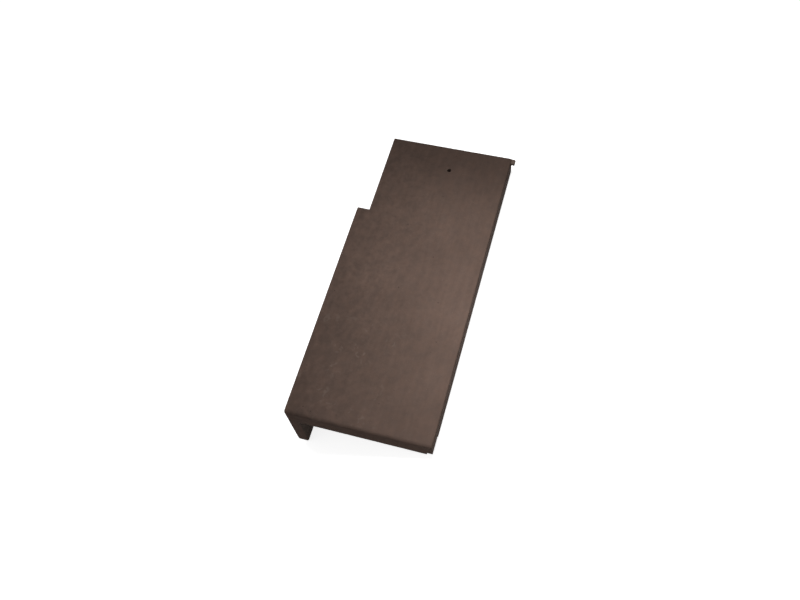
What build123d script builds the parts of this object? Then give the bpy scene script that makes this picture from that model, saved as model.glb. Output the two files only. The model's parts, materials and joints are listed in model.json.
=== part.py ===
from build123d import *
import os
from math import atan2, degrees, radians, tan

# Left-hand, half-width verge tile of a flat interlocking concrete roof tile, moulded as one piece.
# Sizes are in millimetres, angles in degrees.
# The tile is first drawn level, as it sits in its mould: X runs across it from the outer face of
# the hanging flange, Y runs up the roof from the nose to the head, and Z = 0 is the weathered face.

# Slab
tile_length = 420.0
tile_width = 183.0
slab_thickness = 17.0
long_edge_radius = 2.0
arris_radius = 1.2

# Nose, the thick front edge that lies on the tile below
nose_depth = 28.0
nose_return = 24.0
nose_radius = 4.5

# Flange, which hangs over the end of the battens
flange_depth = 99.0
flange_thickness = 14.0
flange_root_radius = 7.0
flange_toe_radius = 3.5

# Notch at the head, where the flange of the tile above comes down
notch_length = 121.0
notch_clearance = 2.8

# Side lap, which covers the water channel of the next tile
lap_width = 33.0
lap_thickness = 13.0
outer_rib_width = 7.5
outer_rib_nose_step = 5.5
inner_rib_width = 5.0
inner_rib_depth = 23.0

# Weather bars across the underside, behind the nose
bar_count = 2
bar_pitch = 26.0
bar_gap_to_nose = 20.0
bar_width = 8.0
bar_drop = 6.0

# Nibs that hook over the batten
nib_width = 34.0
nib_length = 20.0
nib_drop = 17.0
nib_from_head = 14.0
nib_from_sides = 6.0
nib_front_draft = 3.0
nib_back_slope = 24.0
nib_foot_radius = 2.0

# Lug at the head of the lap side
lug_reach = 5.5
lug_length = 8.0
lug_height = 4.5
lug_set_down = 0.8

# Nail hole
nail_hole_diameter = 5.0
nail_from_head = 36.8
nail_from_side = 78.1

# Draft, the lean of moulded faces that lets the tile leave its mould
mould_draft = 6.0
flange_draft = 1.0


def draft_spread(height, angle):
    """How far a drafted face leans sideways over a height."""
    return height * tan(radians(angle))


# Places that follow from the sizes
notch_width = flange_thickness + notch_clearance
notch_start = tile_length - notch_length
flange_drop = flange_depth - slab_thickness
flange_root_x = flange_thickness + draft_spread(flange_drop, flange_draft)
lap_start = tile_width - lap_width
outer_rib_start = tile_width - outer_rib_width
channel_start = lap_start + inner_rib_width
nib_top_y = tile_length - nib_from_head
nib_foot_y = nib_top_y - nib_length
first_nib_x = notch_width + nib_from_sides + nib_width / 2
last_nib_x = lap_start - nib_from_sides - nib_width / 2

# Cross-section at the nose, seen from the front
nose_section = Plane(origin=(0, 0, 0), x_dir=(1, 0, 0), z_dir=(0, -1, 0))


with BuildPart() as level_tile:
    # Body: slab and flange as one section, drawn at the nose and run up to the head
    with BuildSketch(nose_section):
        with BuildLine():
            Polyline(
                (0, 0),
                (tile_width, 0),
                (tile_width, -slab_thickness),
                (flange_root_x, -slab_thickness),
                (flange_thickness, -flange_depth),
                (0, -flange_depth),
                close=True,
            )
        make_face()
    extrude(amount=-tile_length)

    # Rounded front edge and softened long edges of the weathered face
    nose_edge = level_tile.faces().sort_by(Axis.Z)[-1].edges().sort_by(Axis.Y)[0]
    fillet(nose_edge, nose_radius)
    long_edges = level_tile.faces().sort_by(Axis.Z)[-1].edges().filter_by(Axis.Y)
    fillet(long_edges, long_edge_radius)

    # Rounded inner corner between the slab and the flange
    inner_edges = level_tile.edges().filter_by(Axis.Y)
    flange_root = inner_edges.sort_by_distance((flange_root_x, 0, -slab_thickness))[0]
    fillet(flange_root, flange_root_radius)

    # Notch at the head, right through the slab and the flange
    with BuildSketch(Plane.XY):
        with Locations((0, notch_start)):
            Rectangle(notch_width, notch_length, align=(Align.MIN, Align.MIN))
    extrude(amount=-flange_depth, mode=Mode.SUBTRACT)

    # Nose return: a full-depth front wall with a drafted back
    nose_drop = nose_depth - slab_thickness
    nose_back = nose_return + draft_spread(nose_drop, mould_draft)
    with BuildSketch(Plane.YZ.offset(flange_thickness / 2)):
        with BuildLine():
            Polyline(
                (0, -slab_thickness / 2),
                (nose_back, -slab_thickness / 2),
                (nose_back, -slab_thickness),
                (nose_return, -nose_depth),
                (0, -nose_depth),
                close=True,
            )
        make_face()
    extrude(amount=tile_width - flange_thickness / 2)

    # Side lap: a deep outer rib and a shallower inner rib, with a channel between them
    rib_top = -slab_thickness / 2
    outer_spread = draft_spread(nose_depth - slab_thickness, mould_draft)
    inner_spread = draft_spread(inner_rib_depth - slab_thickness, mould_draft)
    with BuildSketch(nose_section):
        with BuildLine():
            Polyline(
                (tile_width, rib_top),
                (tile_width, -nose_depth),
                (outer_rib_start, -nose_depth),
                (outer_rib_start - outer_spread, -slab_thickness),
                (outer_rib_start - outer_spread, rib_top),
                close=True,
            )
        make_face()
        with BuildLine():
            Polyline(
                (lap_start - inner_spread, rib_top),
                (lap_start - inner_spread, -slab_thickness),
                (lap_start, -inner_rib_depth),
                (channel_start, -inner_rib_depth),
                (channel_start + inner_spread, -slab_thickness),
                (channel_start + inner_spread, rib_top),
                close=True,
            )
        make_face()
    extrude(amount=-tile_length)

    # Channel between the ribs, cut up into the slab behind the nose
    channel_rise = slab_thickness - lap_thickness
    channel_taper = draft_spread(channel_rise, mould_draft)
    channel_left = channel_start + inner_spread
    channel_right = outer_rib_start - outer_spread
    with BuildSketch(nose_section.offset(-nose_back)):
        with BuildLine():
            Polyline(
                (channel_left, -slab_thickness),
                (channel_right, -slab_thickness),
                (channel_right - channel_taper, -lap_thickness),
                (channel_left + channel_taper, -lap_thickness),
                close=True,
            )
        make_face()
    extrude(amount=-(tile_length - nose_back), mode=Mode.SUBTRACT)

    # Step at the nose, where the outer rib stays clear of the next tile
    with BuildSketch(nose_section):
        with Locations((tile_width, -nose_depth)):
            Rectangle(outer_rib_width, outer_rib_nose_step, align=(Align.MAX, Align.MIN))
    extrude(amount=-nose_return, mode=Mode.SUBTRACT)

    # Weather bars across the underside, between the flange and the side lap
    bar_spread = draft_spread(bar_drop, mould_draft)
    with BuildSketch(Plane.YZ.offset(flange_thickness / 2)):
        for bar in range(bar_count):
            bar_y = nose_back + bar_gap_to_nose + bar * bar_pitch
            with BuildLine():
                Polyline(
                    (bar_y - bar_spread, -slab_thickness / 2),
                    (bar_y - bar_spread, -slab_thickness),
                    (bar_y, -slab_thickness - bar_drop),
                    (bar_y + bar_width, -slab_thickness - bar_drop),
                    (bar_y + bar_width + bar_spread, -slab_thickness),
                    (bar_y + bar_width + bar_spread, -slab_thickness / 2),
                    close=True,
                )
            make_face()
    extrude(amount=lap_start + inner_rib_width / 2 - flange_thickness / 2)

    # Eased feet: a larger radius at the outer toe of the flange, small ones where the tile touches down
    foot_edges = level_tile.edges().filter_by(Axis.Y)
    flange_toe = foot_edges.sort_by_distance((0, notch_start / 2, -flange_depth))[0]
    fillet(flange_toe, flange_toe_radius)
    foot_edges = level_tile.edges().filter_by(Axis.Y)
    flange_heel = foot_edges.sort_by_distance((flange_thickness, notch_start / 2, -flange_depth))[0]
    rib_foot = foot_edges.sort_by_distance((tile_width, tile_length / 2, -nose_depth))[0]
    fillet([flange_heel, rib_foot], arris_radius)

    # Nibs: steep towards the nose, where they bear on the batten, and sloped towards the head
    nib_front = draft_spread(nib_drop, nib_front_draft)
    nib_back = draft_spread(nib_drop, nib_back_slope)
    for nib_x in (first_nib_x, last_nib_x):
        with BuildSketch(Plane.YZ.offset(nib_x)):
            with BuildLine():
                Polyline(
                    (nib_foot_y, -slab_thickness / 2),
                    (nib_foot_y, -slab_thickness),
                    (nib_foot_y + nib_front, -slab_thickness - nib_drop),
                    (nib_top_y - nib_back, -slab_thickness - nib_drop),
                    (nib_top_y, -slab_thickness),
                    (nib_top_y, -slab_thickness / 2),
                    close=True,
                )
            make_face()
        extrude(amount=nib_width / 2, both=True)
    nib_foot_faces = level_tile.faces().filter_by(Plane.XY).filter_by_position(
        Axis.Z, -slab_thickness - nib_drop - 0.01, -slab_thickness - nib_drop + 0.01
    )
    fillet(nib_foot_faces.edges(), nib_foot_radius)

    # Lug on the lap side at the head
    with BuildSketch(Plane.XY.offset(-lug_set_down)):
        with Locations((tile_width, tile_length)):
            Rectangle(2 * lug_reach, lug_length, align=(Align.CENTER, Align.MAX))
    extrude(amount=-lug_height)

    # Nail hole through the slab
    with Locations(Plane.XY):
        with Locations((tile_width - nail_from_side, tile_length - nail_from_head)):
            Hole(nail_hole_diameter / 2, depth=slab_thickness)


# Rest: the tile lies on the inner foot of its flange and on the foot of its outer rib,
# so it leans about its length by the angle of the line through those two edges.
rest_lean = degrees(atan2(flange_depth - nose_depth, tile_width - flange_thickness))
leaning_tile = level_tile.part.rotate(Axis.Y, rest_lean)
reach = leaning_tile.bounding_box()
rest_shift = (-reach.center().X, -reach.center().Y, -reach.min.Z)

with BuildPart() as verge_tile:
    add(leaning_tile.translate(rest_shift))

print("lean", round(rest_lean, 4), "shift", [round(value, 4) for value in rest_shift])

os.makedirs("parts", exist_ok=True)
verge_tile.part.label = "verge_tile"
export_step(verge_tile.part, "parts/verge_tile.step")
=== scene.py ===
import json
import math

import bmesh
import bpy
import numpy as np
from mathutils import Matrix, Vector, kdtree, noise


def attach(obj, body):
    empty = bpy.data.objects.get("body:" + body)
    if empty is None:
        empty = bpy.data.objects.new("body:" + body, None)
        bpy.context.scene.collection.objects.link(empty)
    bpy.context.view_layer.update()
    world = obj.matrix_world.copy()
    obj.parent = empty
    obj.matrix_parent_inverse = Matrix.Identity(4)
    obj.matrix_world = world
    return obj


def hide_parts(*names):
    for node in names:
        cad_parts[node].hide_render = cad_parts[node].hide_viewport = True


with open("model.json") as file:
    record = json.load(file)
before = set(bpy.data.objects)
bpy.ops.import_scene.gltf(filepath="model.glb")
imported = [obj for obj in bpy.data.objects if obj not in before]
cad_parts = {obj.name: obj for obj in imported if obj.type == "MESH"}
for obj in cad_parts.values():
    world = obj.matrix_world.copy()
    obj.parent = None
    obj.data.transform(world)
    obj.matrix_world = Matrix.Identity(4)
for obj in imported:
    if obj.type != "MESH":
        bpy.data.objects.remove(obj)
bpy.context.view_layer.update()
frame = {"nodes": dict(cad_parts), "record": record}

MM = 0.001
NODE = "verge_tile"
PHOTO_WIDTH = 800


# The tile's own frame

# The tile leans about its length as it lies. Its own frame has X across it from the outer face of
# the flange, Y up its length from the nose, and Z out of the weathered face, all from the corner
# where the three meet. The lean is read from the record, the corner from the mesh.

mounts = {mount["name"]: mount for mount in frame["record"]["mounts"]}
face_normal = mounts["head_lap"]["axis"]
lean = math.atan2(face_normal[0], face_normal[2])


def mesh_points(mesh):
    """The mesh's vertices as rows of an array."""
    flat = np.empty(len(mesh.vertices) * 3)
    mesh.vertices.foreach_get("co", flat)
    return flat.reshape(-1, 3)


tile_turn = Matrix.Rotation(lean, 4, "Y")
turned_points = mesh_points(frame["nodes"][NODE].data) @ np.array(tile_turn.to_3x3())
corner = Vector((turned_points[:, 0].min(), turned_points[:, 1].min(), turned_points[:, 2].max()))
tile_to_world = tile_turn @ Matrix.Translation(corner)
world_to_tile = tile_to_world.inverted()


# Camera, as the photograph sees the tile

camera_place = Vector((312.3, -289.7, 956.1)) * MM
camera_yaw = math.radians(25.033)
camera_pitch = math.radians(28.298)
camera_roll = math.radians(-10.277)
focal_pixels = 866.8
sensor_width = 36
view_reach = 20


def photo_camera():
    """The camera, placed and turned in the tile's frame."""
    data = bpy.data.cameras.new("camera")
    data.sensor_width = sensor_width
    data.lens = focal_pixels * sensor_width / PHOTO_WIDTH
    data.clip_end = view_reach
    camera = bpy.data.objects.new("camera", data)
    heading = Matrix.Rotation(camera_yaw, 4, "Z")
    pitch = Matrix.Rotation(camera_pitch, 4, "X")
    roll = Matrix.Rotation(camera_roll, 4, "Z")
    camera.matrix_world = tile_to_world @ Matrix.Translation(camera_place) @ heading @ pitch @ roll
    bpy.context.scene.collection.objects.link(camera)
    bpy.context.scene.camera = camera


# The tile's skin: its mesh with eased edges, cut into small faces and roughened inwards

weld_distance = 0.01 * MM
flat_angle = math.radians(3)
sharp_angle = math.radians(28)
ridge_angle = math.radians(12)
arris_width = 0.6 * MM
arris_segments = 2
cell = 2.3 * MM
sliver_width = 0.06 * MM

swell_depth = 0.12 * MM
swell_length = 26 * MM
swell_octaves = 2
ripple_depth = 0.06 * MM
ripple_length = 7 * MM
ripple_octaves = 1

# Wear along the edges, which fades out at the reach, and chips where the noise passes the threshold
worn_reach = 3.2 * MM
worn_depth = 0.06 * MM
chip_depth = 1.5 * MM
chip_length = 6.5 * MM
chip_octaves = 3
chip_threshold = 0.7
bare_edge_wear = 0.45
chip_wear = 3

noise_seed_shift = Vector((31.7, 12.9, 5.3))
noise_fall = 0.9
noise_step = 2.1


def relief_noise(place, length, octaves):
    """Smooth noise between 0 and 1, with lumps of about the given length."""
    value = noise.fractal(place / length + noise_seed_shift, noise_fall, noise_step, octaves)
    return min(max(0.5 + 0.5 * value, 0), 1)


def convex_edges(bm, angle):
    """The outer edges of the tile that turn by more than an angle."""
    return [
        edge for edge in bm.edges
        if edge.is_manifold and edge.calc_face_angle_signed(0) > angle
    ]


def cut_into_cells(bm):
    """Cuts every face with evenly spaced planes across each axis of the tile."""
    for axis in (2, 1, 0):
        low = min(vertex.co[axis] for vertex in bm.verts)
        high = max(vertex.co[axis] for vertex in bm.verts)
        count = round((high - low) / cell)
        normal = Vector((0, 0, 0))
        normal[axis] = 1
        for cut in range(count):
            place = normal * (low + (high - low) * (cut + 0.5) / count)
            everything = bm.verts[:] + bm.edges[:] + bm.faces[:]
            bmesh.ops.bisect_plane(
                bm, geom=everything, dist=weld_distance, plane_co=place, plane_no=normal,
            )


def clear_slivers(bm):
    """Takes out the thinnest faces, and any loose flap that this leaves."""
    bmesh.ops.dissolve_degenerate(bm, dist=sliver_width, edges=bm.edges[:])
    flaps = [face for face in bm.faces if sum(edge.is_boundary for edge in face.edges) > 1]
    bmesh.ops.delete(bm, geom=flaps, context="FACES")


def edge_tree(bm):
    """The points of the tile's outer edges, for looking up how far away they are."""
    ridge_points = set()
    for edge in convex_edges(bm, ridge_angle):
        ridge_points.update(edge.verts)
    tree = kdtree.KDTree(len(ridge_points))
    for index, vertex in enumerate(sorted(ridge_points, key=lambda vertex: vertex.index)):
        tree.insert(vertex.co, index)
    tree.balance()
    return tree


def roughen(bm):
    """Presses the skin inwards: a slow swell, a fine ripple, and worn and chipped edges."""
    tree = edge_tree(bm)
    edge_layer = bm.verts.layers.float.new("edge_wear")
    moves = []
    for vertex in bm.verts:
        place = vertex.co
        nearness = max(0, 1 - tree.find(place)[2] / worn_reach)
        chips = max(0, relief_noise(place, chip_length, chip_octaves) - chip_threshold)
        depth = swell_depth * relief_noise(place, swell_length, swell_octaves)
        depth += ripple_depth * relief_noise(place, ripple_length, ripple_octaves)
        depth += nearness * (worn_depth + chip_depth * chips)
        vertex[edge_layer] = nearness * min(1, bare_edge_wear + chip_wear * chips)
        moves.append((vertex, vertex.normal * -depth))
    for vertex, move in moves:
        vertex.co += move


def concrete_body():
    """The detailed tile, which stands for the plain one."""
    bm = bmesh.new()
    bm.from_mesh(frame["nodes"][NODE].data)
    bm.transform(world_to_tile)
    bmesh.ops.remove_doubles(bm, verts=bm.verts, dist=weld_distance)
    bmesh.ops.dissolve_limit(bm, angle_limit=flat_angle, verts=bm.verts, edges=bm.edges)
    bmesh.ops.recalc_face_normals(bm, faces=bm.faces)
    bmesh.ops.bevel(
        bm, geom=convex_edges(bm, sharp_angle), offset=arris_width, offset_type="OFFSET",
        segments=arris_segments, profile=0.5, affect="EDGES", clamp_overlap=False,
    )
    cut_into_cells(bm)
    clear_slivers(bm)
    bm.normal_update()
    bm.verts.index_update()
    roughen(bm)
    bmesh.ops.triangulate(bm, faces=bm.faces)
    bm.transform(tile_to_world)
    bmesh.ops.recalc_face_normals(bm, faces=bm.faces)
    mesh = bpy.data.meshes.new("concrete_body")
    bm.to_mesh(mesh)
    bm.free()
    mesh.shade_smooth()
    body = bpy.data.objects.new("concrete_body", mesh)
    bpy.context.scene.collection.objects.link(body)
    return body


# Shader nodes

def add_node(tree, kind, inputs=None, **settings):
    """One shader node with its settings, its inputs set to values or linked to sockets."""
    made = tree.nodes.new(kind)
    for name, value in settings.items():
        setattr(made, name, value)
    for name, value in (inputs or {}).items():
        if isinstance(value, bpy.types.NodeSocket):
            tree.links.new(value, made.inputs[name])
        else:
            made.inputs[name].default_value = value
    return made


def scaled_place(tree, place, scale):
    """The place with each axis scaled by itself."""
    return add_node(tree, "ShaderNodeVectorMath", {0: place, 1: scale}, operation="MULTIPLY").outputs[0]


def noise_value(tree, place, length, detail=3, roughness=0.55, distortion=0, seed=0):
    """Noise with lumps of about the given length, between 0 and 1."""
    inputs = {
        "Vector": place, "W": seed, "Scale": 1 / length, "Detail": detail, "Roughness": roughness,
        "Distortion": distortion,
    }
    return add_node(tree, "ShaderNodeTexNoise", inputs, noise_dimensions="4D").outputs["Fac"]


def ramp(tree, value, low, high, to_low=0, to_high=1):
    """A smooth step of a value from one range to another."""
    inputs = {"Value": value, "From Min": low, "From Max": high, "To Min": to_low, "To Max": to_high}
    return add_node(tree, "ShaderNodeMapRange", inputs, interpolation_type="SMOOTHSTEP").outputs[0]


def ramp_line(tree, value, low, high, to_low, to_high):
    """A straight, clamped change of a value from one range to another."""
    inputs = {"Value": value, "From Min": low, "From Max": high, "To Min": to_low, "To Max": to_high}
    settings = {"interpolation_type": "LINEAR", "clamp": True}
    return add_node(tree, "ShaderNodeMapRange", inputs, **settings).outputs[0]


def calc(tree, operation, first, second):
    """Arithmetic on two values."""
    return add_node(tree, "ShaderNodeMath", {0: first, 1: second}, operation=operation).outputs[0]


def product(tree, first, *others):
    """All the values multiplied, in their order."""
    for other in others:
        first = calc(tree, "MULTIPLY", first, other)
    return first


def mix_colours(tree, factor, first, second, blend="MIX"):
    """Two colours mixed by a factor."""
    made = add_node(tree, "ShaderNodeMix", data_type="RGBA", blend_type=blend)
    for index, value in ((0, factor), (6, first), (7, second)):
        if isinstance(value, bpy.types.NodeSocket):
            tree.links.new(value, made.inputs[index])
        else:
            made.inputs[index].default_value = value
    return made.outputs[2]


def new_material(name):
    """An empty material, its node tree and its shader."""
    material = bpy.data.materials.new(name)
    material.use_nodes = True
    return material, material.node_tree, material.node_tree.nodes["Principled BSDF"]


# Dark brown, through-coloured concrete

concrete_brown = (0.112, 0.0757, 0.0612, 1)
warm_tint = (1.014, 1.0, 0.990, 1)
cool_tint = (0.986, 1.0, 1.010, 1)
tint_span = (0.35, 0.65)
# The sand's colour also serves as painted light, and the pores' colour as painted shade
sand_and_painted_light_colour = (0.235, 0.185, 0.155, 1)
pore_and_painted_shade_colour = (0.030, 0.022, 0.019, 1)
raw_colour = (0.128, 0.098, 0.083, 1)

faint_specular = 0.04
noise_span = (0.3, 0.7)
roughness_span = (0.78, 0.92)

# Mottling, the slowest first: how long the lumps are, and how far they swing the tone
broad_length, broad_swing, broad_seed = 150 * MM, 0.08, 6.0
patch_length, patch_swing, patch_seed = 48 * MM, 0.06, 1.0
blotch_length, blotch_swing = 13 * MM, 0.12
mottle_length, mottle_swing = 6.2 * MM, 0.085
streak_width, streak_swing, streak_squash = 6 * MM, 0.045, (1, 0.16, 1)
grain_length, grain_swing = 1.2 * MM, 0.015

# Across the tile the mottling is full beside the flange and calmer beside the side lap
coarse_columns, calm_share = (140 * MM, 20 * MM), 0.45

# Painted shade: the head is darker, most of all on the right. Painted light: the front edge is paler
head_rows, head_columns = (330 * MM, 405 * MM), (60 * MM, 175 * MM)
head_painted_shade_tones = (0.855, 0.75)
front_rows, front_painted_light = (45 * MM, 6 * MM), 1.11

# Where the concrete has no finish: on faces that look down, and on all within these bounds
down_span = (0.15, 0.6)
under_left, under_right = (15 * MM, 17 * MM), (181 * MM, 179 * MM)
under_front, under_top = (1 * MM, 3 * MM), (-17 * MM, -18 * MM)

# Faces that look to the right: painted light on the flange's inner one, painted shade on the side lap's
side_span = (0.5, 0.95)
inner_columns, inner_painted_light_share = (120 * MM, 60 * MM), 0.35
lap_columns, lap_painted_shade_share = (170 * MM, 178 * MM), 0.33
# A painted highlight on the lug
lug_columns, lug_painted_highlight_share = (182.8 * MM, 183.6 * MM), 0.55

# Sand grains, crusty marks in clusters by the nose, and worn edges: how much of the sand's colour
sand_spacing, sand_size, sand_shown, sand_share = 2.4 * MM, 0.5 * MM, 0.25, 0.18
crust_columns, crust_rows = (135 * MM, 80 * MM), (160 * MM, 110 * MM)
crust_length, crust_span, crust_seed, crust_share = 9 * MM, (0.54, 0.70), 7.0, 0.26
cluster_length, cluster_span, cluster_seed = 30 * MM, (0.50, 0.60), 9.0
worn_span, worn_share = (0.45, 0.75), 0.35

# Pores, on the face and where there is no finish: how far apart their cells are, how large they
# are, and how many show
fine_pore_spacing, fine_pore_size, fine_pores_shown = 11 * MM, 0.75 * MM, 0.35
raw_pore_spacing, raw_pore_size, raw_pores_shown = 6.5 * MM, 1.3 * MM, 0.3
pore_share = 0.75

# Specks are whole within the core, and the last of those that show fade in
speck_core, speck_sure = 0.5, 0.7

# Relief too fine for the mesh
grain_height = 0.015 * MM
mottle_height = 0.10 * MM
sand_height = 0.15 * MM
pore_depth = 0.5 * MM


def swing(tree, value, amount):
    """A noise value turned into a factor that swings about 1 by the given amount."""
    return ramp_line(tree, value, *noise_span, 1 - amount, 1 + amount)


def speck_mask(tree, place, spacing, size, shown):
    """1 on small round specks, one to a cell of the given spacing, where a share of them is shown."""
    cells = add_node(tree, "ShaderNodeTexVoronoi", {"Vector": place, "Scale": 1 / spacing})
    near = ramp(tree, cells.outputs["Distance"], size / spacing, speck_core * size / spacing)
    chance = add_node(tree, "ShaderNodeSeparateColor", {0: cells.outputs["Color"]}).outputs[0]
    return product(tree, near, ramp(tree, chance, 1 - shown, 1 - speck_sure * shown))


def facing(tree, normal, direction):
    """How squarely a face looks in a direction: 1 towards it, 0 across it."""
    inputs = {0: normal, 1: direction}
    return add_node(tree, "ShaderNodeVectorMath", inputs, operation="DOT_PRODUCT").outputs["Value"]


def concrete_tone(tree, place, blotches, mottles, grain):
    """How light the concrete is: mottled, streaked along its length, painted shade at the head, painted
    light at the nose.
    """
    across, along, _ = add_node(tree, "ShaderNodeSeparateXYZ", {0: place}).outputs
    coarse = ramp(tree, across, *coarse_columns, calm_share, 1.0)
    broad = noise_value(tree, place, broad_length, detail=1, roughness=0.5, seed=broad_seed)
    patches = noise_value(
        tree, place, patch_length, detail=2, roughness=0.5, distortion=0.2, seed=patch_seed,
    )
    streak_place = scaled_place(tree, place, streak_squash)
    streaks = noise_value(tree, streak_place, streak_width, detail=1, roughness=0.5)
    return product(
        tree,
        swing(tree, patches, patch_swing),
        calc(tree, "POWER", swing(tree, blotches, blotch_swing), coarse),
        swing(tree, broad, broad_swing),
        # Painted light: the front edge is paler
        ramp(tree, along, *front_rows, 1.0, front_painted_light),
        calc(tree, "POWER", swing(tree, mottles, mottle_swing), coarse),
        swing(tree, streaks, streak_swing),
        swing(tree, grain, grain_swing),
        # Painted shade: the head is darker, most of all on the right
        ramp(tree, along, *head_rows, 1.0, ramp(tree, across, *head_columns, *head_painted_shade_tones)),
    )


def unfinished_mask(tree, place, facing_down, inner_side):
    """1 where the concrete has no finish, which is all that lies under the slab."""
    across, along, up = add_node(tree, "ShaderNodeSeparateXYZ", {0: place}).outputs
    unfinished = calc(tree, "MAXIMUM", ramp(tree, facing_down, *down_span), inner_side)
    within_sides = product(tree, ramp(tree, across, *under_left), ramp(tree, across, *under_right))
    within = product(tree, within_sides, ramp(tree, along, *under_front))
    return calc(tree, "MAXIMUM", unfinished, product(tree, within, ramp(tree, up, *under_top)))


def crust_mask(tree, place):
    """1 on the small crusty marks, which lie in clusters towards the nose."""
    across, along, _ = add_node(tree, "ShaderNodeSeparateXYZ", {0: place}).outputs
    marks = noise_value(
        tree, place, crust_length, detail=1, roughness=0.5, distortion=1.2, seed=crust_seed,
    )
    clusters = noise_value(tree, place, cluster_length, detail=0, roughness=0.5, seed=cluster_seed)
    zone = product(
        tree, ramp(tree, across, *crust_columns), ramp(tree, along, *crust_rows),
        ramp(tree, clusters, *cluster_span),
    )
    return product(tree, ramp(tree, marks, *crust_span), zone)


def concrete_material():
    """Matt brown concrete: mottled, sandy, with pores and worn edges, and unfinished underneath."""
    material, tree, shader = new_material("concrete")
    coordinates = add_node(tree, "ShaderNodeTexCoord").outputs
    place = add_node(
        tree, "ShaderNodeMapping",
        {"Vector": coordinates["Object"], "Rotation": (0, -lean, 0), "Location": -corner},
    ).outputs[0]
    across = add_node(tree, "ShaderNodeSeparateXYZ", {0: place}).outputs[0]
    wear = add_node(tree, "ShaderNodeAttribute", attribute_name="edge_wear").outputs["Fac"]
    blotches = noise_value(tree, place, blotch_length, detail=3, roughness=0.55, distortion=0.3)
    mottles = noise_value(tree, place, mottle_length, detail=2, roughness=0.5, distortion=0.4)
    grain = noise_value(tree, place, grain_length, detail=3, roughness=0.7)

    # All that lies under the slab is a little paler and greyer
    facing_down = facing(tree, coordinates["Normal"], (-math.sin(lean), 0, -math.cos(lean)))
    facing_side = facing(tree, coordinates["Normal"], (math.cos(lean), 0, -math.sin(lean)))
    steep = ramp(tree, facing_side, *side_span)
    inner_side = product(tree, steep, ramp(tree, across, *inner_columns))
    raw = unfinished_mask(tree, place, facing_down, inner_side)
    colour = mix_colours(tree, raw, concrete_brown, raw_colour)

    # Painted light on the flange's inner face, painted shade on the side lap's outer face, a painted
    # highlight on the lug
    lap_side = product(tree, steep, ramp(tree, across, *lap_columns))
    lug = ramp(tree, across, *lug_columns)
    colour = mix_colours(tree, product(tree, inner_side, inner_painted_light_share), colour, sand_and_painted_light_colour)
    colour = mix_colours(tree, product(tree, lap_side, lap_painted_shade_share), colour, pore_and_painted_shade_colour)
    colour = mix_colours(tree, product(tree, lug, lug_painted_highlight_share), colour, sand_and_painted_light_colour)

    # Mottling, in hue and in tone
    tint = mix_colours(tree, ramp(tree, blotches, *tint_span), cool_tint, warm_tint)
    tone = concrete_tone(tree, place, blotches, mottles, grain)
    colour = mix_colours(tree, 1, colour, tint, "MULTIPLY")
    colour = mix_colours(tree, 1, colour, tone, "MULTIPLY")

    # Sand grains, crusty marks and worn edges
    sand = product(tree, speck_mask(tree, place, sand_spacing, sand_size, sand_shown), sand_share)
    pale = calc(tree, "MAXIMUM", sand, product(tree, crust_mask(tree, place), crust_share))
    worn = product(tree, wear, ramp(tree, mottles, *worn_span, 0, worn_share))
    pale = calc(tree, "MAXIMUM", pale, worn)
    colour = mix_colours(tree, pale, colour, sand_and_painted_light_colour)

    # Pores: few and small on the face, more and larger where the concrete has no finish
    fine_pores = speck_mask(tree, place, fine_pore_spacing, fine_pore_size, fine_pores_shown)
    raw_pores = speck_mask(tree, place, raw_pore_spacing, raw_pore_size, raw_pores_shown)
    pores = calc(tree, "MAXIMUM", fine_pores, product(tree, raw_pores, raw))
    colour = mix_colours(tree, product(tree, pores, pore_share), colour, pore_and_painted_shade_colour)

    tree.links.new(colour, shader.inputs["Base Color"])
    tree.links.new(ramp_line(tree, blotches, *noise_span, *roughness_span), shader.inputs["Roughness"])
    shader.inputs["Specular IOR Level"].default_value = faint_specular

    height = product(tree, grain, grain_height)
    height = calc(tree, "ADD", height, product(tree, mottles, mottle_height))
    height = calc(tree, "ADD", height, product(tree, sand, sand_height))
    height = calc(tree, "SUBTRACT", height, product(tree, pores, pore_depth))
    bump = add_node(tree, "ShaderNodeBump", {"Strength": 1, "Distance": 1, "Height": height}).outputs[0]
    tree.links.new(bump, shader.inputs["Normal"])
    return material


# Light and floor

world_strength = 0.255
white_strength = 1.0

# The floor reflects less light onto the tile than it shows, and glows where it is seen
floor_half = 4.0
floor_light_colour = (0.40, 0.40, 0.40, 1)
floor_seen_colour = (0.9, 0.9, 0.9, 1)
floor_glow = 0.82
floor_roughness = 0.9


def area_lamp(name, place, target, size, power, spread):
    """A soft lamp, placed and aimed in the tile's frame."""
    data = bpy.data.lights.new(name, "AREA")
    data.shape = "RECTANGLE"
    data.size, data.size_y = size
    data.energy = power
    data.spread = math.radians(spread)
    lamp = bpy.data.objects.new(name, data)
    lamp.location = tile_to_world @ Vector(place)
    aim = tile_to_world @ Vector(target) - lamp.location
    lamp.rotation_euler = aim.to_track_quat("-Z", "Y").to_euler()
    bpy.context.scene.collection.objects.link(lamp)


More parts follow.
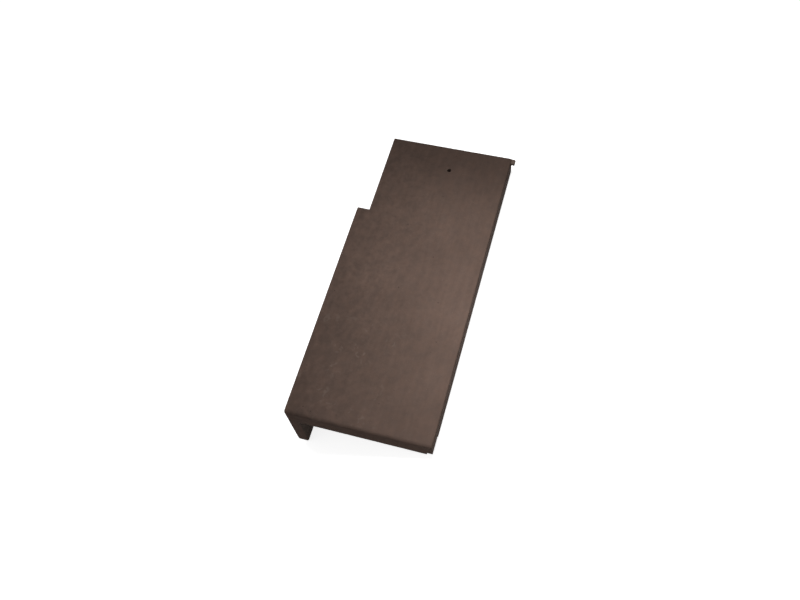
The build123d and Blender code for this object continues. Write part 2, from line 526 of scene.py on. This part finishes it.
def seen_white(tree):
    """1 for the rays that show the background, in view or in a reflection, and 0 for the rest."""
    path = add_node(tree, "ShaderNodeLightPath").outputs
    reflected = calc(tree, "MAXIMUM", path["Is Glossy Ray"], path["Is Transmission Ray"])
    return calc(tree, "MAXIMUM", path["Is Camera Ray"], reflected)


def pale_world():
    """An even, pale light from all round, seen as white."""
    world = bpy.data.worlds.new("studio")
    world.use_nodes = True
    bpy.context.scene.world = world
    tree = world.node_tree
    background = tree.nodes["Background"]
    background.inputs["Color"].default_value = (1, 1, 1, 1)
    strength = ramp(tree, seen_white(tree), 0, 1, world_strength, white_strength)
    tree.links.new(strength, background.inputs["Strength"])


def white_floor():
    """A white floor that keeps the tile's shadow."""
    outline = [(-floor_half, -floor_half, 0), (floor_half, -floor_half, 0),
               (floor_half, floor_half, 0), (-floor_half, floor_half, 0)]
    mesh = bpy.data.meshes.new("floor")
    mesh.from_pydata(outline, [], [(0, 1, 2, 3)])
    floor = bpy.data.objects.new("floor", mesh)
    bpy.context.scene.collection.objects.link(floor)
    material, tree, shader = new_material("floor_white")
    seen = seen_white(tree)
    floor_colour = mix_colours(tree, seen, floor_light_colour, floor_seen_colour)
    tree.links.new(floor_colour, shader.inputs["Base Color"])
    shader.inputs["Roughness"].default_value = floor_roughness
    shader.inputs["Specular IOR Level"].default_value = 0.0
    shader.inputs["Emission Color"].default_value = (1, 1, 1, 1)
    tree.links.new(product(tree, seen, floor_glow), shader.inputs["Emission Strength"])
    mesh.materials.append(material)


def studio():
    """Two soft lamps, a pale world and a white floor."""
    area_lamp(
        "key_light", place=(0.1, 0.25, 0.9), target=(0.262, 0.179, 0),
        size=(0.2, 0.2), power=0.658, spread=45,
    )
    area_lamp(
        "fill_light", place=(-1.2, 1.0, 0.35), target=(0.09, 0.2, -0.03),
        size=(0.8, 0.8), power=6, spread=150,
    )
    pale_world()
    white_floor()
    bpy.context.scene.view_settings.view_transform = "Standard"


photo_camera()
studio()
concrete = concrete_material()
body = concrete_body()
body.data.materials.append(concrete)
for slot in frame["nodes"][NODE].material_slots:
    slot.material = concrete
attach(body, "root")
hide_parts(NODE)
